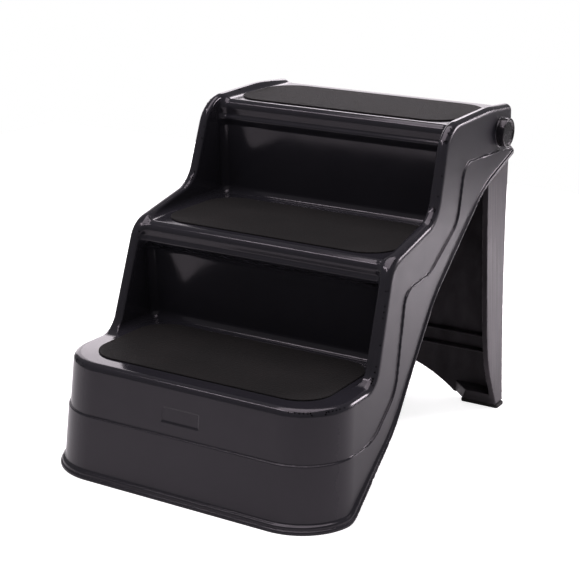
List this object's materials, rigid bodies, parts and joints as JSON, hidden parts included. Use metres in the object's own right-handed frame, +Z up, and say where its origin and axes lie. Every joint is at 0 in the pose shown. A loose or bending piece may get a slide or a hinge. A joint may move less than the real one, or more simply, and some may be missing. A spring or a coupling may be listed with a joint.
{
  "type": "folding pet stair",
  "caption": "Moulded pet stair with side rails and grip mats, on a rear support that folds forward on two pivot pins under the top platform.",
  "frame": {"origin": "on the floor under the middle of the overall box", "axes": "+Z up, +Y from the lowest step towards the rear support, +X to the right of someone climbing"},
  "size_m": [0.3776, 0.5, 0.3898],
  "materials": {
    "gloss_shell": "high-gloss injection-moulded black plastic",
    "satin_support": "satin moulded black plastic with faint vertical drag lines",
    "pin_cap": "gloss black cap with a recessed face",
    "washer_plastic": "plain matte black",
    "spring_steel": "plain steel push-on ring",
    "grip_mat": "fine-grit matte anti-slip mat",
    "foot_rubber": "matte black rubber"
  },
  "bodies": {
    "stair": {"step_shell": "gloss_shell", "tread_mat_lower": "grip_mat", "tread_mat_middle": "grip_mat", "tread_mat_upper": "grip_mat", "hinge_pin_left": "pin_cap", "hinge_pin_right": "pin_cap", "hinge_washer_left": "washer_plastic", "hinge_washer_right": "washer_plastic", "hinge_retainer_left": "spring_steel", "hinge_retainer_right": "spring_steel", "front_foot_pad_left": "foot_rubber", "front_foot_pad_right": "foot_rubber"},
    "support": {"rear_support": "satin_support", "rear_foot_shoe_left": "foot_rubber", "rear_foot_shoe_right": "foot_rubber"}
  },
  "joints": [
    {"name": "support_fold", "type": "hinge", "parent": "stair", "child": "support", "pos_m": [0, 0.208, 0.355], "axis": [-1, 0, 0], "range_deg": [0, 36]}
  ]
}
